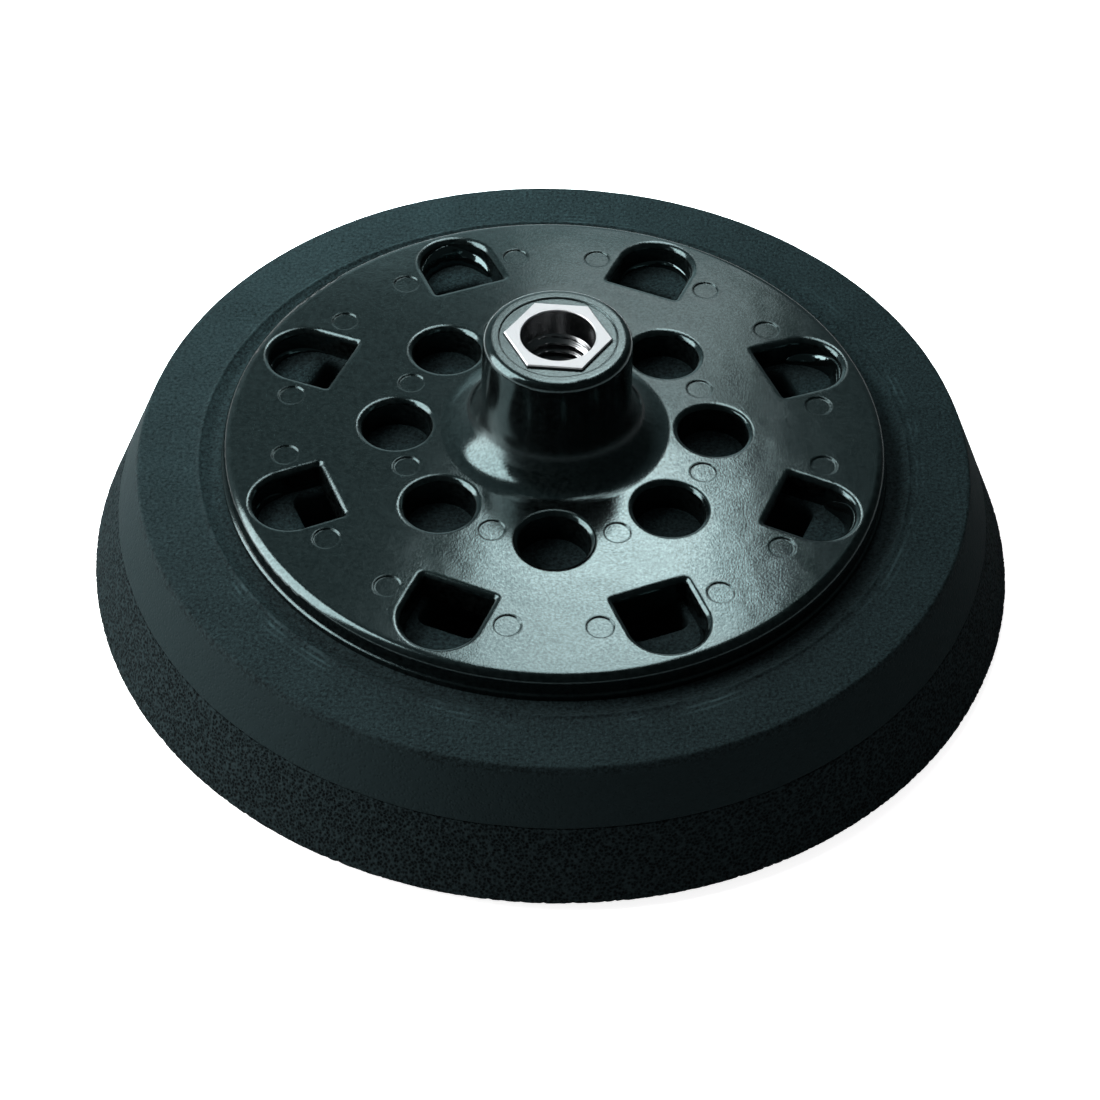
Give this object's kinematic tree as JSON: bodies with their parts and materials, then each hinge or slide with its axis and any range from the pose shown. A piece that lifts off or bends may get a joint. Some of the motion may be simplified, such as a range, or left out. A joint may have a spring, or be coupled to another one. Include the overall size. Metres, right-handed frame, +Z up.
{
  "type": "sander backing pad",
  "caption": "Round hook-and-loop backing pad for a rotary or orbital sander: moulded plate with a hub, threaded steel bush and dust windows, on a two-layer foam.",
  "frame": {"origin": "centre of the hook face's lower side, on the spindle axis", "axes": "+Z up the spindle axis towards the sander, +X through the middle of a round hole in the plate"},
  "size_m": [0.18, 0.18, 0.056],
  "materials": {
    "bush_steel": "bright machined steel, turned and faced",
    "plate_plastic": "gloss black glass-filled nylon moulding",
    "firm_foam": "charcoal polyurethane foam with a fine skin",
    "soft_foam": "near-black open-cell polyurethane foam",
    "hook_plastic": "dense rows of small hooks on a thin film"
  },
  "bodies": {
    "root": {"threaded_insert": "bush_steel", "backing_plate": "plate_plastic", "firm_foam": "firm_foam", "soft_foam": "soft_foam", "hook_face": "hook_plastic"}
  },
  "joints": []
}
